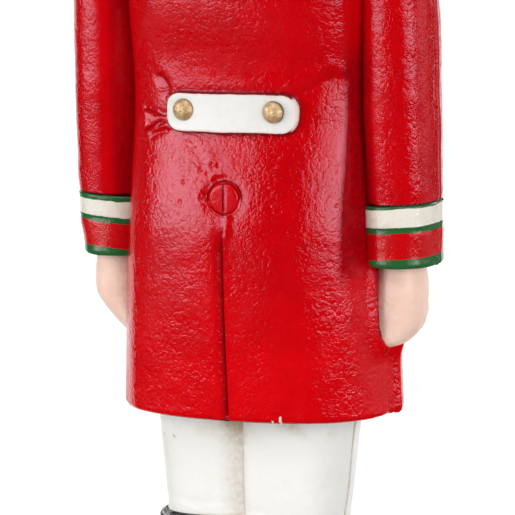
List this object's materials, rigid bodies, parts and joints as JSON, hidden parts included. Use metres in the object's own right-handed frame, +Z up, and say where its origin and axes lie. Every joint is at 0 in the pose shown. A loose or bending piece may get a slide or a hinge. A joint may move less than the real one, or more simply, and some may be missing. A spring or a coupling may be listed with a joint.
{
  "type": "guard soldier figurine",
  "caption": "Standing painted cast-metal guard soldier in a red coat with a half belt, parted into a back and a front shell that one slotted screw clamps together.",
  "frame": {"origin": "centre of the felt underside, on the table top", "axes": "+Z up, +Y the way the soldier faces, +X on the soldier's right side; the back shell faces -Y"},
  "size_m": [0.092, 0.07, 0.3079],
  "materials": {
    "red_enamel": "gloss",
    "ivory_enamel": "gloss",
    "green_enamel": "gloss",
    "black_enamel": "gloss",
    "fur_black": "satin",
    "flesh_enamel": "satin",
    "gold_paint": "satin",
    "steel": "satin",
    "felt": "matte"
  },
  "bodies": {
    "figure": {"base_felt": "felt", "base_plinth": "green_enamel", "right_boot_screw": "steel", "left_boot_screw": "steel", "right_boot": "black_enamel", "left_boot": "black_enamel", "right_trouser_leg": "ivory_enamel", "left_trouser_leg": "ivory_enamel", "coat_back_shell": "red_enamel", "coat_front_shell": "red_enamel", "clamp_nut": "steel", "lower_locating_dowel": "steel", "upper_locating_dowel": "steel", "half_belt": "ivory_enamel", "left_belt_stud": "gold_paint", "right_belt_stud": "gold_paint", "front_button_1": "gold_paint", "front_button_2": "gold_paint", "front_button_3": "gold_paint", "front_button_4": "gold_paint", "front_button_5": "gold_paint", "collar": "green_enamel", "right_shoulder_strap": "ivory_enamel", "left_shoulder_strap": "ivory_enamel", "right_arm_dowel": "steel", "left_arm_dowel": "steel", "right_sleeve": "red_enamel", "left_sleeve": "red_enamel", "right_cuff": "green_enamel", "left_cuff": "green_enamel", "right_hand": "flesh_enamel", "left_hand": "flesh_enamel", "head": "flesh_enamel", "bearskin_cap": "fur_black", "cap_dowel": "steel", "chin_strap": "gold_paint"},
    "washer": {"clamp_washer": "steel"},
    "screw": {"clamp_screw": "red_enamel"}
  },
  "joints": [
    {"name": "clamp_screw_back_out", "type": "slide", "parent": "figure", "child": "washer", "axis": [0, -1, 0], "range_m": [0, 0.00263]},
    {"name": "clamp_screw_turn", "type": "hinge", "parent": "washer", "child": "screw", "pos_m": [0, 0, 0.152], "axis": [0, -1, 0], "range_deg": [0, 1350]}
  ],
  "couplings": [
    {"joint": "clamp_screw_turn", "follows": "clamp_screw_back_out", "rad_per_m": 8975}
  ]
}
